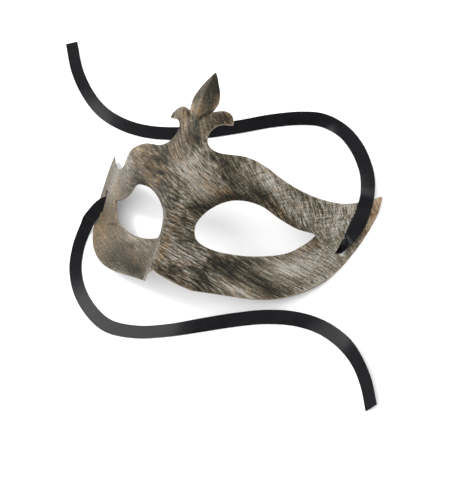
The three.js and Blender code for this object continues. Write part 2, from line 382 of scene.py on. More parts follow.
def finishMaterial(tree, colour, rough, normal, metallic, extra=None):
    sockets = {"Base Color": colour, "Roughness": rough, "Metallic": metallic, "Normal": normal}
    shader = addNode(tree, "ShaderNodeBsdfPrincipled", {**sockets, **(extra or {})})
    addNode(tree, "ShaderNodeOutputMaterial", {"Surface": shader.outputs[0]})


def makeBrushGroup():  # streaks along the first coordinate of a map: hairs, strokes and bands
    group = bpy.data.node_groups.new("brushStreaks", "ShaderNodeTree")
    group.interface.new_socket("Along", in_out="INPUT", socket_type="NodeSocketVector")
    for name in ("Length", "Width", "Seed"):
        group.interface.new_socket(name, in_out="INPUT", socket_type="NodeSocketFloat")
    group.interface.new_socket("Streaks", in_out="OUTPUT", socket_type="NodeSocketFloat")
    entry = addNode(group, "NodeGroupInput")
    perLength = mathNode(group, "DIVIDE", 100.0, entry.outputs["Length"])
    perWidth = mathNode(group, "DIVIDE", 100.0, entry.outputs["Width"])
    scale = addNode(group, "ShaderNodeCombineXYZ", {"X": perLength, "Y": perWidth, "Z": 1.0})
    shift = addNode(group, "ShaderNodeCombineXYZ", {"X": entry.outputs["Seed"], "Y": entry.outputs["Seed"]})
    moved = addNode(group, "ShaderNodeVectorMath", {0: entry.outputs["Along"], 1: scale.outputs[0],
                                                    2: shift.outputs[0]}, operation="MULTIPLY_ADD")
    look = {"Vector": moved.outputs[0], "Scale": 1.0, "Detail": 3.0, "Roughness": 0.62, "Distortion": 0.25}
    noise = addNode(group, "ShaderNodeTexNoise", look, noise_dimensions="2D")
    addNode(group, "NodeGroupOutput", {"Streaks": noise.outputs[0]})
    return group


def streaks(tree, group, along, length, width, seed):
    node = addNode(tree, "ShaderNodeGroup", node_tree=group)
    tree.links.new(along, node.inputs["Along"])
    for name, value in (("Length", length), ("Width", width), ("Seed", seed)):
        node.inputs[name].default_value = value
    return node.outputs[0]


brushedBronze = {
    "ramp": [  # paint from the deepest ground to the palest stroke
        (0.0, (0.0045, 0.0042, 0.0020)), (0.22, (0.0160, 0.0138, 0.0070)), (0.42, (0.056, 0.0465, 0.028)),
        (0.60, (0.116, 0.100, 0.071)), (0.78, (0.206, 0.189, 0.155)), (1.0, (0.354, 0.336, 0.297)),
    ],
    "warmRamp": [  # the same steps where copper shows through
        (0.0, (0.009, 0.0055, 0.0020)), (0.22, (0.028, 0.018, 0.008)), (0.42, (0.084, 0.053, 0.025)),
        (0.60, (0.160, 0.106, 0.056)), (0.78, (0.268, 0.188, 0.113)), (1.0, (0.395, 0.298, 0.203)),
    ],
    # the tone gain scales the tone spots, which hold painted highlights and painted shade as well as real
    # paint tone
    "depth": 0.82, "base": 0.515, "toneAndPaintedLightGain": 0.62, "patchGain": 0.20, "grainGain": 0.60, "mottleGain": 0.45,
    "layers": [  # length and width of the strokes, seed, gain
        (5.0, 0.36, 3.1, 1.60), (9.0, 0.80, 11.7, 0.95), (20.0, 2.6, 27.3, 0.35),
    ],
    "crossLayers": [(5.0, 0.55, 53.9, 1.1), (8.0, 1.3, 61.3, 0.5)],
    "patchScale": 7.0, "grainScale": 105.0, "mottleScale": 62.0, "calmShare": 0.8, "rimLift": 0.12,
    "copperStreaks": (7.0, 2.0, 41.9), "copperStreakGain": 1.8, "copperShare": 0.8,
    "fleckScale": 34.0, "fleckMiddle": 0.53, "fleckGain": 2.6,
    "metallic": 0.12, "gloss": 0.18, "roughLow": 0.44, "roughHigh": 0.66, "bump": 0.3,
}


def cloudNode(tree, place, scale, detail):
    return addNode(tree, "ShaderNodeTexNoise", {"Vector": place, "Scale": scale, "Detail": detail}).outputs[0]


def attributeValue(tree, name):
    return addNode(tree, "ShaderNodeAttribute", attribute_name=name).outputs["Fac"]


def bronzeMaterial(group):
    look = brushedBronze
    material, tree = newMaterial("brushedBronze")
    along = addNode(tree, "ShaderNodeUVMap", uv_map="strokes").outputs[0]
    place = addNode(tree, "ShaderNodeUVMap", uv_map="face").outputs[0]
    sides = addNode(tree, "ShaderNodeSeparateXYZ", {"Vector": along})
    swapped = {"X": sides.outputs["Y"], "Y": sides.outputs["X"]}
    crosswise = addNode(tree, "ShaderNodeCombineXYZ", swapped).outputs[0]
    busy = mathNode(tree, "MULTIPLY_ADD", attributeValue(tree, "calmPaint"), -look["calmShare"], 1.0)
    crossed = mathNode(tree, "MULTIPLY", attributeValue(tree, "crossPaint"), busy)
    # the tone spots add real paint tone together with painted highlights and painted shade
    value = mathNode(tree, "MULTIPLY_ADD", attributeValue(tree, "toneAndPaintedLight"), look["toneAndPaintedLightGain"], look["base"])

    def addLayer(height, gain, amount=None):
        centred = mathNode(tree, "MULTIPLY", mathNode(tree, "SUBTRACT", height, 0.5), gain)
        if amount is None:
            return mathNode(tree, "ADD", centred, value)
        return mathNode(tree, "MULTIPLY_ADD", centred, amount, value)

    for length, width, seed, gain in look["layers"]:
        value = addLayer(streaks(tree, group, along, length, width, seed), gain, busy)
    for length, width, seed, gain in look["crossLayers"]:
        value = addLayer(streaks(tree, group, crosswise, length, width, seed), gain, crossed)
    value = addLayer(cloudNode(tree, place, look["patchScale"], 2.0), look["patchGain"])
    value = addLayer(cloudNode(tree, place, look["grainScale"], 2.0), look["grainGain"])
    mottle = cloudNode(tree, place, look["mottleScale"], 3.0)
    value = addLayer(mottle, look["mottleGain"], attributeValue(tree, "calmPaint"))
    rimNear = attributeValue(tree, "rimNear")
    value = mathNode(tree, "MULTIPLY_ADD", rimNear, look["rimLift"], value, clamp=True)
    paint, warmPaint = [
        rampNode(tree, value, [(step, tuple(c * look["depth"] for c in tint)) for step, tint in look[name]])
        for name in ("ramp", "warmRamp")
    ]
    copperGrain = mathNode(tree, "SUBTRACT", streaks(tree, group, along, *look["copperStreaks"]), 0.5)
    flecks = mathNode(tree, "SUBTRACT", cloudNode(tree, place, look["fleckScale"], 4.0), look["fleckMiddle"])
    copperMask = mathNode(tree, "MULTIPLY_ADD", copperGrain, look["copperStreakGain"],
                          attributeValue(tree, "copperTone"))
    copperMask = mathNode(tree, "MULTIPLY_ADD", flecks, look["fleckGain"], copperMask)
    copperMask = mathNode(tree, "MULTIPLY", copperMask, look["copperShare"], clamp=True)
    colour = mixColours(tree, copperMask, paint, warmPaint)
    rough = mathNode(tree, "MULTIPLY_ADD", value, look["roughLow"] - look["roughHigh"], look["roughHigh"])
    bump = addNode(tree, "ShaderNodeBump", {"Height": value, "Strength": look["bump"], "Distance": 0.0003})
    gloss = {"Specular IOR Level": look["gloss"]}
    finishMaterial(tree, colour, rough, bump.outputs[0], look["metallic"], gloss)
    return material


def insideMaterial():
    material, tree = newMaterial("plainInside")
    place = addNode(tree, "ShaderNodeTexCoord").outputs["Object"]
    cloud = cloudNode(tree, place, 90.0, 3.0)
    grain = cloudNode(tree, place, 1600.0, 2.0)
    colour = rampNode(tree, cloud, [(0.3, (0.020, 0.019, 0.016)), (0.75, (0.045, 0.041, 0.034))])
    rough = mathNode(tree, "MULTIPLY_ADD", cloud, 0.2, 0.4)
    bump = addNode(tree, "ShaderNodeBump", {"Height": grain, "Strength": 0.15, "Distance": 0.0002})
    finishMaterial(tree, colour, rough, bump.outputs[0], 0.0)
    return material


def rimMaterial():
    material, tree = newMaterial("wornRim")
    place = addNode(tree, "ShaderNodeUVMap", uv_map="face").outputs[0]
    cloud = cloudNode(tree, place, 14.0, 3.0)
    tints = [(0.3, (0.06, 0.05, 0.036)), (0.5, (0.15, 0.115, 0.08)), (0.7, (0.25, 0.175, 0.115))]
    colour = rampNode(tree, cloud, tints)
    bump = addNode(tree, "ShaderNodeBump", {"Height": cloud, "Strength": 0.2, "Distance": 0.0002})
    finishMaterial(tree, colour, 0.5, bump.outputs[0], 0.2)
    return material


def maskMaterials():
    return [bronzeMaterial(brushGroup), insideMaterial(), rimMaterial()]


def satinMaterial():
    material, tree = newMaterial("blackSatin")
    cloth = addNode(tree, "ShaderNodeUVMap", uv_map="clothMap").outputs[0]
    weave = {"Vector": cloth, "Scale": 900.0, "Distortion": 0.6, "Detail": 1.0}
    threads = addNode(tree, "ShaderNodeTexWave", weave, bands_direction="X").outputs["Fac"]
    cloud = cloudNode(tree, cloth, 160.0, 3.0)
    colour = rampNode(tree, cloud, [(0.3, (0.0030, 0.0031, 0.0042)), (0.7, (0.0055, 0.0056, 0.0070))])
    rough = mathNode(tree, "MULTIPLY_ADD", cloud, 0.10, 0.20)
    bump = addNode(tree, "ShaderNodeBump", {"Height": threads, "Strength": 0.12, "Distance": 0.0001})
    finishMaterial(tree, colour, rough, bump.outputs[0], 0.0, {"Specular IOR Level": 0.062})
    return material


def floorMaterial():
    material, tree = newMaterial("paleFloor")
    place = addNode(tree, "ShaderNodeTexCoord").outputs["Object"]
    cloud = cloudNode(tree, place, 3.0, 2.0)
    colour = rampNode(tree, cloud, [(0.3, (0.88, 0.88, 0.88)), (0.7, (0.90, 0.90, 0.90))])
    bump = addNode(tree, "ShaderNodeBump", {"Height": cloud, "Strength": 0.02, "Distance": 0.001})
    finishMaterial(tree, colour, 0.8, bump.outputs[0], 0.0)
    return material


brushGroup = makeBrushGroup()
print("materials ready")

# the moulded mask
maskOutline = {  # right half, x and v, from the notch under the nose to the tip of the leaf
    "notch": [(0, -29.2)],
    "noseEdge": [(4.5, -31.5), (10.5, -35.1), (16.4, -38.1)],
    "lowerRim": [
        (26, -37.9), (36, -37.8), (48, -37.4), (59.3, -35.3), (69.3, -30.8), (77.4, -24.3),
        (83.2, -15.7), (87.2, -5.9), (90, 4.8), (91.3, 14), (91.0, 22.6),
    ],
    "wingTop": [
        (88.2, 20.9), (84, 18.7), (79.5, 17), (73.9, 16.3), (65.4, 17.7), (57.6, 21.1), (50.5, 26),
        (45.5, 29.7), (39.5, 32.5), (32.6, 34.2), (25.7, 34.3), (20, 34.4), (15, 35.9), (11.7, 38.6),
        (10.1, 42.2), (10.4, 45.2), (12.6, 47.9), (16, 49.0), (20.6, 49.3),
    ],
    "petal": [(20.4, 51), (19.3, 53), (17.4, 54.9), (14.2, 56.1), (11.1, 55.8), (7.3, 54.6)],
    "leafEdge": [(8.3, 57.6), (8.7, 60.5), (7.5, 65), (4.9, 69.6), (2.4, 73.4), (0, 76.2)],
    "eye": [
        (67.6, -1.3), (65.4, -0.5), (59.7, 0.3), (53.8, 2.7), (48.3, 5.9), (43.1, 9.4), (37.1, 11.1),
        (31, 11.1), (25.4, 9.8), (19.4, 6.6), (14.2, 1.9), (11.2, -3.5), (11, -8.4), (12.2, -11.9),
        (15.2, -14.6), (20, -16), (28, -16.8), (39.4, -16.5), (50.6, -14.4), (57.5, -11.8),
        (62.6, -7.6), (65.6, -4.4), (67.6, -1.3),
    ],
    "slot": [(80.45, -9.4), (81.45, -4.4), (82.1, 3.2)],
    "slotHalf": 1.9, "slotSlant": 0.7,
}
maskBuild = {
    "cell": 0.6, "edgeStep": 0.6, "rimBand": 0.45, "keepClear": 0.75,
    "rounding": 0.3, "roundingSteps": 3, "backShare": 0.3, "sharpCorner": 55, "leastStretch": 0.45,
    "gridWide": 184, "gridHigh": 116, "gridMiddle": 19.0, "rimFade": 0.9, "crease": 40,
}


def splineLine(points, step):  # a smooth line through the points, without its last point
    line = []
    last = len(points) - 1
    for i in range(last):
        p0, p1 = points[max(i - 1, 0)], points[i]
        p2, p3 = points[i + 1], points[min(i + 2, last)]
        pieces = max(1, round(math.dist(p1, p2) / step))
        for k in range(pieces):
            t = k / pieces
            spot = []
            for a, b, c, d in zip(p0, p1, p2, p3):
                start, end = (c - a) / 2, (d - b) / 2
                spot.append((2 * b - 2 * c + start + end) * t**3
                            + (-3 * b + 3 * c - 2 * start - end) * t**2 + start * t + b)
            line.append(tuple(spot))
    return line


def outlineLoops():
    step = maskBuild["edgeStep"]
    right = []
    before = maskOutline["notch"][0]
    for part in ("noseEdge", "lowerRim", "wingTop", "petal", "leafEdge"):
        points = [before, *maskOutline[part]]
        right += splineLine(points, step)
        before = points[-1]
    left = [(-x, v) for x, v in right[1:]][::-1]
    loops = [right + [before] + left]
    slotLine = splineLine(maskOutline["slot"], step) + [maskOutline["slot"][-1]]
    half, slant = maskOutline["slotHalf"], maskOutline["slotSlant"]
    fades = [slant * (1 - i / (len(slotLine) - 1)) for i in range(len(slotLine))]
    slot = [(x + half, v - fade) for (x, v), fade in zip(slotLine, fades)]
    slot += [(x - half, v + fade) for (x, v), fade in zip(slotLine[::-1], fades[::-1])]
    for hole in (splineLine(maskOutline["eye"], step), slot):
        loops.append(hole)
        loops.append([(-x, v) for x, v in hole])
    return [thinCorners(turnedLoop(loop, i > 0)) for i, loop in enumerate(loops)]


def turnedLoop(loop, hole):  # every loop runs with the face of the mask on its left
    area = sum(a[0] * b[1] - b[0] * a[1] for a, b in zip(loop, loop[1:] + loop[:1]))
    return loop[::-1] if (area > 0) == hole else loop


def cornerTurns(points):
    before, after = points - np.roll(points, 1, 0), np.roll(points, -1, 0) - points
    return np.arctan2(before[:, 0] * after[:, 1] - before[:, 1] * after[:, 0], (before * after).sum(1))


def thinCorners(loop):  # a point beside a sharp outer corner is dropped, which leaves room for the rim
    sharp = cornerTurns(np.array(loop)) > math.radians(maskBuild["sharpCorner"])
    beside = (np.roll(sharp, 1) | np.roll(sharp, -1)) & ~sharp
    return [spot for spot, drop in zip(loop, beside) if not drop]


def innerLoop(loop, gap):  # the same loop, moved into the face
    points = np.array(loop)
    forwardStep = np.roll(points, -1, 0) - points
    normals = np.stack([-forwardStep[:, 1], forwardStep[:, 0]], -1)
    normals /= np.linalg.norm(normals, axis=1, keepdims=True)
    middle = normals + np.roll(normals, 1, 0)
    middle /= np.linalg.norm(middle, axis=1, keepdims=True)
    stretch = np.maximum((middle * normals).sum(1, keepdims=True), maskBuild["leastStretch"])
    return points + middle * gap / stretch


def insideLoops(points, loops):  # even-odd count of the crossings with every loop
    inside = np.zeros(len(points), bool)
    for loop in loops:
        a = np.array(loop)
        b = np.roll(a, -1, 0)
        for (ax, ay), (bx, by) in zip(a, b):
            crosses = (ay > points[:, 1]) != (by > points[:, 1])
            if ay != by:
                at = ax + (points[:, 1] - ay) / (by - ay) * (bx - ax)
                inside ^= crosses & (points[:, 0] < at)
    return inside


def edgeDistance(points, loops):
    nearest = np.full(len(points), 1e9)
    for loop in loops:
        a = np.array(loop)
        b = np.roll(a, -1, 0)
        for p, q in zip(a, b):
            d = q - p
            t = np.clip(((points - p) @ d) / (d @ d), 0, 1)
            nearest = np.minimum(nearest, np.hypot(*(points - p - t[:, None] * d).T))
    return nearest


def flatSkin(loops):  # a fine grid inside the outline, joined to the outline by a strip of triangles
    cell, middle = maskBuild["cell"], maskBuild["gridMiddle"]
    columns, rows = round(maskBuild["gridWide"] / cell), round(maskBuild["gridHigh"] / cell)
    wide, high = columns * cell, rows * cell
    deselectAll()
    bpy.ops.mesh.primitive_grid_add(x_subdivisions=columns, y_subdivisions=rows, size=1)
    skin = bpy.context.object
    skin.name = "maskShell"
    co = np.zeros(len(skin.data.vertices) * 3)
    skin.data.vertices.foreach_get("co", co)
    co = co.reshape(-1, 3) * (wide, high, 1) + (0, middle, 0)
    skin.data.vertices.foreach_set("co", co.ravel())
    keep = insideLoops(co[:, :2], loops)
    keep[keep] = edgeDistance(co[keep, :2], loops) > maskBuild["rimBand"] + maskBuild["keepClear"] * cell
    shape = bmesh.new()
    shape.from_mesh(skin.data)
    shape.verts.ensure_lookup_table()
    bmesh.ops.delete(shape, geom=[vert for vert in shape.verts if not keep[vert.index]], context="VERTS")
    bmesh.ops.delete(shape, geom=[vert for vert in shape.verts if not vert.link_faces], context="VERTS")

    def cellAt(x, y):
        return math.floor((x + wide / 2) / cell), math.floor((y - middle + high / 2) / cell)

    kept = {cellAt(*face.calc_center_median()[:2]) for face in shape.faces}
    corners = [vert for vert in shape.verts if vert.is_boundary]
    place = {vert: i for i, vert in enumerate(corners)}
    edges = [(place[e.verts[0]], place[e.verts[1]]) for e in shape.edges if e.is_boundary]
    inners = [innerLoop(loop, maskBuild["rimBand"]) for loop in loops]
    for loop, inner in zip(loops, inners):
        first, count = len(corners), len(loop)
        corners += [shape.verts.new((x, v, 0)) for x, v in inner]
        edges += [(first + i, first + (i + 1) % count) for i in range(count)]
        rim = [shape.verts.new((x, v, 0)) for x, v in loop]
        for i in range(count):
            k = (i + 1) % count
            shape.faces.new((rim[i], rim[k], corners[first + k], corners[first + i]))
    flat = [vert.co.xy for vert in corners]
    spots, _, faces, sources, _, _ = delaunay_2d_cdt(flat, edges, [], 0, 1e-6, True)
    middles = np.array([sum((spots[i] for i in face), Vector((0, 0))) / 3 for face in faces])
    for face, centre, inside in zip(faces, middles, insideLoops(middles, inners)):
        if inside and cellAt(*centre) not in kept:
            shape.faces.new([corners[sources[i][0]] for i in face])
    bmesh.ops.recalc_face_normals(shape, faces=shape.faces)
    shape.to_mesh(skin.data)
    shape.free()
    return skin


# where the brush went: x, v and the direction of the strokes in degrees, 0 across and 90 up
strokeDirections = [
    (0, 72, -84), (-5, 60, -96), (5, 60, -80), (-13, 52, -62), (14, 52, -24), (0, 47, -84), (7, 40, -62),
    (-1.6, 39, -64), (-8, 33, -42), (-2, 33, -52), (8, 31.5, -56), (43, 28, -50), (-40, 30, 1),
    (-26, 31, 1), (-15, 31, -2), (-32, 23, 1), (-19, 24, -3), (-6, 22, -10), (-1, 26.4, -32),
    (6.5, 26, -56), (-46, 18, 3), (-49, 24, -3), (-14, 17, -1), (-3, 14.6, -3), (1.5, 19, -18),
    (7, 18.5, -38), (11, 23, -46), (14, 17, -40), (21, 18, -46), (30, 18, -64), (42, 17, -62),
    (53, 16, -60), (-24, 10, 2), (-42, 14, 2), (-8, 10, 3), (4, 11.8, -5), (2, 7.3, -8), (12, 8, -36),
    (22, 11, -57), (72, 10, -76), (82, 6, -84), (88, 16, -62), (-5, 4, -1), (-4, -4, -10), (3, -9, -42),
    (3, -19, -37), (6, -22, -37), (15, -32, -48), (30, -24, -30), (41, -24, -24), (51, -21, -13),
    (31, -34, -30), (53, -32, -16), (61, -18, -5), (70, -15, -11), (69, -27, -22), (70, -3, -14),
    (80, -12, -30), (-10, -20, -20), (-30, -24, -22), (-46, -24, -8), (-60, -22, -8), (-72, -10, -34),
    (-80, 4, -66), (-64, 10, -60), (31.2, -30.1, -20), (42, -31.5, -19), (34, -21.9, -15),
    (45.8, -23.7, -13), (16.4, -23.1, -35), (12.1, -20, -43), (10.6, -28.1, -40), (8.3, -31.5, -30),
    (15.4, -36.3, -48), (22, -33.7, -33), (12.4, -14.7, -22), (22.9, -20, -10), (6, -6.8, -4),
    (9.8, -8.8, -15), (5.4, -0.1, -13), (4.3, -13.3, -19), (29.7, 29.3, -62), (29.7, 35.6, -51),
    (37.4, 27.7, -55), (39.4, 33.2, -46), (44.8, 23.6, -64), (49.2, 27.9, -67), (52.8, 19.8, -84),
    (58.8, 13, -83), (66.8, 9, -78), (55.3, 3.7, -76), (74.6, 6.6, -74), (46.3, 13.7, -61),
    (19.4, 35.8, -43), (19.7, 27.9, -45), (25.8, 21, -50),
]
brushField = {"reach": 5.0, "side": 96, "low": 44, "high": 82, "passes": 30, "gainFrom": 0.3, "gainTo": 3.0}

# lights and darks of the paint, partly real paint tone and partly painted highlights and painted shade in
# creases, grooves and on sides turned from the light: x, v, reach along, reach across, direction, amount
toneAndPaintedLightSpots = [
    (4, 24, 19, 7, -44, 0.34), (14, 13, 9, 6, -40, 0.20), (0, 5, 11, 4, 55, 0.10),
    (50, 19, 13, 6, -58, 0.42), (38, 27, 10, 4, -30, 0.12), (-36, 32, 12, 5, -10, 0.24),
    (-52, 18, 9, 6, -60, 0.34), (-76, 9, 12, 9, -80, 0.36), (60, 8, 12, 8, -60, 0.18),
    (76, 8, 12, 9, -80, 0.26), (86, 16, 7, 5, -60, 0.28), (60, -17, 14, 6, -5, 0.38),
    (72, -12, 10, 8, -40, 0.24), (38, -35, 17, 3.6, -22, 0.46), (-64, -24, 12, 9, -30, 0.18),
    (-38, -19, 18, 3.5, 0, 0.16), (10, -23, 12, 2.6, -52, 0.30), (14, -30, 8, 2.2, -50, 0.34),
    (-9, 50, 7, 6, -60, 0.26), (-1, 58, 7, 3, -86, 0.12), (26, 26, 8, 7, -40, -0.42),
    (41, 18, 7, 5, -62, -0.20), (33, 14, 9, 4, -20, -0.42), (48, 10, 10, 3, -40, -0.42),
    (14, 4, 6, 4, -50, -0.52), (6, -2, 6, 3, -40, -0.10), (5, -9, 7, 3, -45, -0.22),
    (12, -13, 7, 2.6, -30, -0.38), (24, -21, 8, 4, -28, -0.44), (35, -26, 20, 5.5, -24, -0.52),
    (5, -30, 6, 2.4, -36, -0.40), (20, -32, 7, 4, -62, -0.52), (55, -31, 12, 3.6, -16, -0.46),
    (34, -18, 16, 1.8, -3, -0.20), (-40, 11, 10, 3, 8, -0.36), (-16, 14, 14, 8, -15, -0.16),
    (-14, 32, 5, 4, -20, -0.16), (-12, 4, 12, 4, -80, -0.12), (-26, -34, 11, 4, -14, -0.38),
    (-44, -30, 10, 5, -10, -0.16), (3, 69, 9, 5, -80, -0.44), (4, 58, 6, 3.4, -75, -0.22),
    (12, 53, 7, 3, -12, -0.22), (1, 47, 3.6, 1.6, -55, -0.44), (0, 50, 4, 6, 0, -0.08),
    (84, -2, 12, 3, 70, -0.06), (-84, 4, 16, 3, -100, -0.10), (16, 4, 6, 4, 45, -0.28),
    (24, 10, 7, 4, 20, -0.48), (33, 12, 8, 3, 0, -0.28), (58, 1, 8, 3, -22, -0.44),
    (17, 51.5, 6, 4, -10, -0.38), (10, 46, 4, 3, 50, -0.36), (14, -19.5, 6, 4, -30, 0.46),
    (1, 39.5, 5, 4, -50, -0.36), (21, -37, 9, 2.5, -12, -0.34), (34, -38, 8, 2.5, 0, -0.32),
    (56, -13, 9, 3, 10, -0.34), (10, -28, 4, 5, -60, -0.24), (-38, 11, 9, 3, -4, -0.34),
    (-1, 6, 5, 4, 0, -0.32), (-12, 44, 4, 5, -60, -0.36), (19, 23, 6, 5, -50, 0.36),
    (88, 20, 5, 4, 60, 0.32), (50, 14, 7, 4, -40, -0.30), (7, -11, 3.5, 5, 60, 0.34),
    (56, 22, 7, 3.5, -40, -0.28), (21, -17, 6, 2.5, -10, 0.30), (20, 33, 6, 3, -10, -0.30),
    (67, 12, 5, 4, -60, -0.16), (88, 8, 4, 6, 70, 0.26), (80, -2, 4, 6, 60, -0.24),
    (43, -32, 8, 4, -10, 0.26), (36, -20, 8, 3, -10, -0.24), (-34, -34, 9, 3.5, -10, -0.14),
    (-20, 27, 8, 5, -10, -0.22), (-6, 52, 4, 4, 0, -0.26), (10, 29, 6, 4, -45, 0.26),
    (70, -5, 5, 4, -20, -0.20), (12, -4, 3.5, 4, 60, -0.28), (-6, 32, 6, 5, -20, -0.22),
    (4, 16, 5, 4, -30, -0.20), (78, -25, 9, 3, 40, 0.36), (5, 4, 7, 3, 50, 0.30),
    (-13, 42, 6, 4, -60, -0.44), (-85, -14, 6, 6, -60, -0.36), (46, 22, 5, 4, -60, 0.26),
    (21, 8, 5, 3, 40, -0.22), (60, -21, 8, 4, -10, 0.22), (39, -38, 8, 2, 0, -0.22),
    (77, 1, 6, 5, -80, 0.24), (70, 18, 8, 3, -10, 0.24), (12, 56, 4, 2.5, 0, 0.22),
    (81, 17, 5, 3, 0, 0.22), (-50, 27, 8, 5, -40, 0.22), (8, -8, 3, 4, 60, 0.20),
    (-42, 8, 7, 3, -10, -0.20), (-39, -17, 9, 3, 0, 0.20), (70, -31, 7, 3, 20, 0.20),
    (86, -3, 3, 6, 65, 0.24), (3, -22, 3, 6, 75, 0.20), (-3, -20, 12, 1.6, 80, 0.20),
    (5, 68, 8, 4, -78, -0.34), (-5, 56, 5, 3, -80, 0.24), (-6, 62, 4, 3, -70, -0.20),
    (9, -22, 4, 3, -50, -0.24), (-52, -33, 11, 4, -8, -0.20), (-50, 6, 6, 4, -30, -0.18),
    (26, -17.5, 7, 2.5, -4, 0.32), (62, -1, 5, 3, -20, -0.16), (-1, 3, 4, 4, 0, -0.16),
    (44, 18, 4, 3, -50, -0.14), (-38, -24, 10, 4, -6, -0.16), (16, 5, 3.5, 3, 45, -0.16),
    (31, -33, 6, 3, -10, -0.15), (-48, 18, 6, 4, -20, -0.15), (13, -29, 4, 3, -50, -0.17),
    (27, 15, 5, 3, -20, 0.24), (-60, -22, 14, 9, -10, -0.10), (80, 3, 3, 4, 80, -0.12),
    (-13, 30.6, 5, 2.2, -2, -0.30), (-24, 31.6, 8, 1.4, 0, -0.24), (-17, 27.3, 7, 1.5, -2, -0.24),
    (-30, 27, 8, 1.2, 0, -0.18), (5, 24.5, 6, 3, -60, 0.20), (-16.8, 16.2, 2.4, 1.5, 0, 0.40),
    (4.6, 40.2, 3.4, 1.1, -34, -0.55), (1, 42, 2, 1, -34, -0.3), (-3, 64, 6, 3, 70, -0.16),
    (-19.6, 49.6, 2.2, 1.4, 20, -0.5), (-11, 55, 1.5, 0.8, -60, -0.5), (-8.6, 53.6, 2.4, 0.6, -30, -0.5),
    (-7.1, 52.6, 1.6, 0.8, -60, -0.5), (-3.9, 51, 2.2, 0.8, -30, -0.45), (2.6, 51.8, 3, 0.6, 50, -0.4),
    (6.6, 55, 1.6, 0.6, 50, -0.4), (56, -15, 5, 2, 0, -0.16), (16, 13, 4, 3, -40, -0.18),
    (63, 0, 4, 3, 0, -0.16), (29, -37, 6, 2, -12, -0.18), (21, 28, 4, 4, -40, -0.18),
    (-3, 11, 4, 3, 0, -0.16), (3, 30, 4, 3, -50, -0.16), (84, -3, 3, 3, 60, 0.18),
    (76, -21, 4, 3, 40, 0.18), (8, 63, 2, 4, 80, 0.2), (-77, -20, 5, 4, -50, 0.20),
    (30, 11.5, 4, 2, -20, -0.14), (12, -10, 3, 2, -20, -0.2), (0, -11, 3, 4, 60, -0.14),
    (20, -24, 1.8, 8, -20, -0.26), (19, -33, 2.2, 5, -10, -0.22), (89.2, 15.8, 3, 0.5, -50, -0.6),
    (88.2, 12.3, 1.4, 1.0, 0, -0.6), (88.8, 20.2, 4, 3, 70, 0.16), (-63, -14, 4, 0.7, 8, -0.40),
    (-70, -20, 6, 1.0, 12, -0.14), (10, 52, 3, 2, 10, -0.14),
]
# copper showing through: x, v, reach along, reach across, direction, amount
copperSpots = [
    (-9, 51, 9, 6, -60, 0.75), (10, 50, 6, 4, 30, 0.45), (0, 55, 7, 2, -88, 0.75),
    (7, 61, 6, 1.6, -80, 0.7), (-26, 16, 4, 3, -20, 0.9), (20, 15, 7, 3, -40, 0.6),
    (66, -5.5, 4, 2, 35, 0.9), (58, -12, 8, 1.2, 25, 0.5), (88, 20, 8, 5, 75, 0.8),
    (2, -17, 15, 1.8, 82, 1.1), (-70, -22, 10, 8, -40, 0.8), (-66, 4, 12, 6, -60, 0.55),
    (-46, 10, 9, 3, -10, 0.6), (-34, -24, 16, 8, -15, 0.4), (56, -36, 12, 1.8, -8, 0.6),
    (30, 8, 9, 2.4, -20, 0.4), (-20, 26, 12, 4, -20, 0.35), (-4, 34, 8, 6, -60, 0.35),
    (60, 24, 20, 2, -30, 0.3), (20, 33, 8, 3, -20, 0.3), (-84, -20, 12, 5, -50, 0.5),
    (14, -36, 10, 1.6, -35, 0.55), (44, 0, 12, 2.4, -30, 0.4), (-6, 57, 5, 3, -80, 0.6),
    (17, 52, 5, 3, -10, 0.5), (-24, 12, 10, 3, -15, 0.3), (-30, 20, 14, 1.6, -12, 0.5),
    (88.8, 20.2, 6, 4, 70, 1.3), (88, 12, 8, 2.4, 72, 0.9), (89.1, 3.3, 7, 1.6, 66, 0.7),
    (90.5, 10, 16, 0.8, 78, 0.6), (-34, 24, 26, 13, -8, 0.36), (-68, -12, 20, 22, 0, 0.34),
    (-10, 50, 12, 7, 0, 0.3), (50, 8, 6, 2, -40, 0.9), (28, 14.5, 4, 2, -20, 0.7),
    (46, 29, 12, 1.0, -35, 0.7), (17.5, 53, 3, 2.6, 60, 1.1), (-16.8, 16.2, 2.8, 1.9, 0, 1.7),
    (-22, 22.6, 14, 1.1, -2, 0.8), (-36, 30, 6, 3, -10, 0.5), (-6, 30, 5, 4, 0, 0.5),
    (0, 57, 4, 1.4, -80, 0.6), (-76, -12, 8, 1.6, 10, 0.6), (-80, -18, 8, 1.4, 10, 0.6),
    (6, -24, 8, 3, -50, 0.3), (4, 30, 14, 8, -50, 0.15), (22, 15, 8, 3, -10, 0.4),
    (-34, 30, 14, 5, -12, 0.3),
]
# where the paint is smooth and mottled rather than brushed, and where strokes cross
calmSpots = [
    (-58, -26, 26, 12, -8, 0.9), (-78, 6, 24, 14, -75, 1.0), (-64, -8, 14, 12, -40, 0.8),
    (-14, -18, 14, 6, 70, 0.7), (-32, 22, 24, 13, -10, 0.6), (-30, -30, 12, 7, 0, 0.6),
    (0, 57, 20, 18, 90, 0.95), (14, -20, 16, 8, -50, -0.5), (38, 24, 22, 9, -35, 0.4),
    (26, -36, 14, 4, -10, -0.3), (70, -12, 14, 6, 0, -0.3), (89, 12, 12, 3, 75, 0.7),
    (-3, -20, 14, 2.0, 80, 0.8),
]
crossSpots = [
    (72, 10, 16, 12, -70, 0.9), (48, 20, 18, 8, -50, 0.9), (26, 26, 12, 8, -40, 0.7),
    (74, -14, 12, 8, -40, 0.5), (-4, 30, 16, 8, -20, 0.2), (50, -26, 14, 8, -20, 0.2),
]


def laidOn(spots, x, v):  # the sum of soft spots, each with its own length, width and direction
    total = np.zeros_like(x)
    for atX, atV, along, across, turn, amount in spots:
        c, s = math.cos(math.radians(turn)), math.sin(math.radians(turn))
        dx, dv = x - atX, v - atV
        total += amount * bell(np.hypot((dx * c + dv * s) / along, (dv * c - dx * s) / across))
    return total


